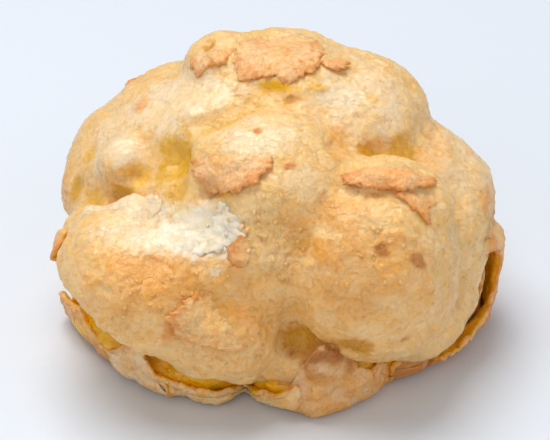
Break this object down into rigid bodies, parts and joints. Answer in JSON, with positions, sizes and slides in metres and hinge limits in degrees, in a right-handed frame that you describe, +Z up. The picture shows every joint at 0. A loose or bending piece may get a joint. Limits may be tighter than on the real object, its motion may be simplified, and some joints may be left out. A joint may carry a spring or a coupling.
{
  "type": "cream puff",
  "caption": "Round baked choux bun with swollen lobes, cracked golden crust and a torn crust rim round its flat underside.",
  "frame": {"origin": "centre of the bun's outline on the surface it rests on", "axes": "+X to the bun's right along its longest side, -Y to its front, +Z up from its flat underside"},
  "size_m": [0.08, 0.0724, 0.054],
  "materials": {
    "baked_dough": "baked choux pastry: matte, pale cream on the stretched dough, golden to orange-brown on the first crust, amber in the folds"
  },
  "bodies": {
    "root": {"choux_bun": "baked_dough"}
  },
  "joints": []
}
